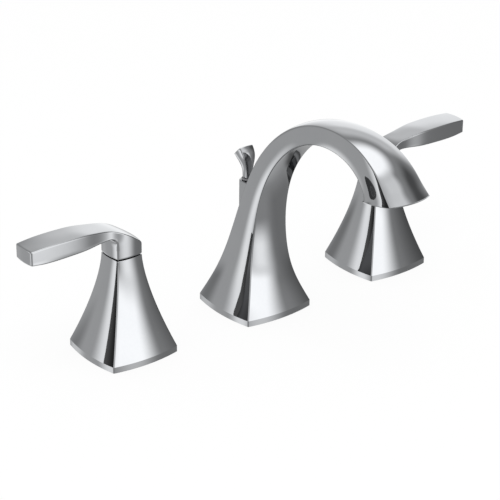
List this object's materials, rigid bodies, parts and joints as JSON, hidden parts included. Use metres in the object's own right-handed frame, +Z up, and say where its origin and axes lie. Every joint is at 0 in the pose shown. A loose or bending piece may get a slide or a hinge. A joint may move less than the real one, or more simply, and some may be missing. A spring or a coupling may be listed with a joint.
{
  "type": "widespread bathroom faucet",
  "caption": "Deck-mounted bathroom faucet: an arched four-sided spout between lever handles on flared covers, a drain lift rod, and its valves and pipework below the deck.",
  "frame": {"origin": "on the counter's surface under the middle of the spout's base", "axes": "+X along the row of handles to the user's right, +Y away from the user, +Z up; the outlet faces -Y"},
  "size_m": [0.3396, 0.1703, 0.2966],
  "materials": {
    "chrome": "polished chrome plate",
    "brass": "machined brass, a little dulled",
    "steel": "plain stainless steel",
    "copper": "drawn copper tube",
    "rubber": "black moulded rubber",
    "white_nylon": "white moulded nylon",
    "dark_nylon": "dark grey moulded nylon",
    "ceramic": "lapped white alumina"
  },
  "bodies": {
    "base": {"spout_body": "chrome", "spout_gasket": "rubber", "anchor_plate": "brass", "anchor_screw_front": "steel", "anchor_screw_back": "steel", "spout_shank": "brass", "spout_washer": "steel", "spout_nut": "brass", "waterway_tube": "copper", "waterway_seal": "rubber", "rod_bushing": "dark_nylon", "aerator_housing": "chrome", "aerator_insert": "white_nylon", "aerator_washer": "rubber", "supply_tee": "brass", "tee_nut": "brass", "left_escutcheon": "chrome", "left_escutcheon_gasket": "rubber", "left_glide_ring": "dark_nylon", "left_cartridge_body": "white_nylon", "left_fixed_disc": "ceramic", "left_cartridge_seal": "rubber", "left_bonnet_nut": "brass", "left_valve_body": "brass", "left_deck_locknut": "brass", "left_washer": "steel", "left_nut": "brass", "left_valve_pipe_nut": "brass", "left_crossover_tube": "copper", "left_tee_pipe_nut": "brass", "right_escutcheon": "chrome", "right_escutcheon_gasket": "rubber", "right_glide_ring": "dark_nylon", "right_cartridge_body": "white_nylon", "right_fixed_disc": "ceramic", "right_cartridge_seal": "rubber", "right_bonnet_nut": "brass", "right_valve_body": "brass", "right_deck_locknut": "brass", "right_washer": "steel", "right_nut": "brass", "right_valve_pipe_nut": "brass", "right_crossover_tube": "copper", "right_tee_pipe_nut": "brass"},
    "left_handle": {"left_lever": "chrome", "left_set_screw": "steel", "left_handle_adapter": "white_nylon", "left_adapter_screw": "steel", "left_cartridge_stem": "brass", "left_turning_disc": "ceramic"},
    "right_handle": {"right_lever": "chrome", "right_set_screw": "steel", "right_handle_adapter": "white_nylon", "right_adapter_screw": "steel", "right_cartridge_stem": "brass", "right_turning_disc": "ceramic"},
    "lift": {"lift_rod": "chrome", "lift_knob": "chrome"}
  },
  "joints": [
    {"name": "left_handle_turn", "type": "hinge", "parent": "base", "child": "left_handle", "pos_m": [-0.1016, 0, 0.0646], "axis": [0, 0, 1], "range_deg": [0, 90]},
    {"name": "right_handle_turn", "type": "hinge", "parent": "base", "child": "right_handle", "pos_m": [0.1016, 0, 0.0646], "axis": [0, 0, -1], "range_deg": [0, 90]},
    {"name": "lift_rod_slide", "type": "slide", "parent": "base", "child": "lift", "axis": [0, 0, 1], "range_m": [0, 0.025]}
  ]
}
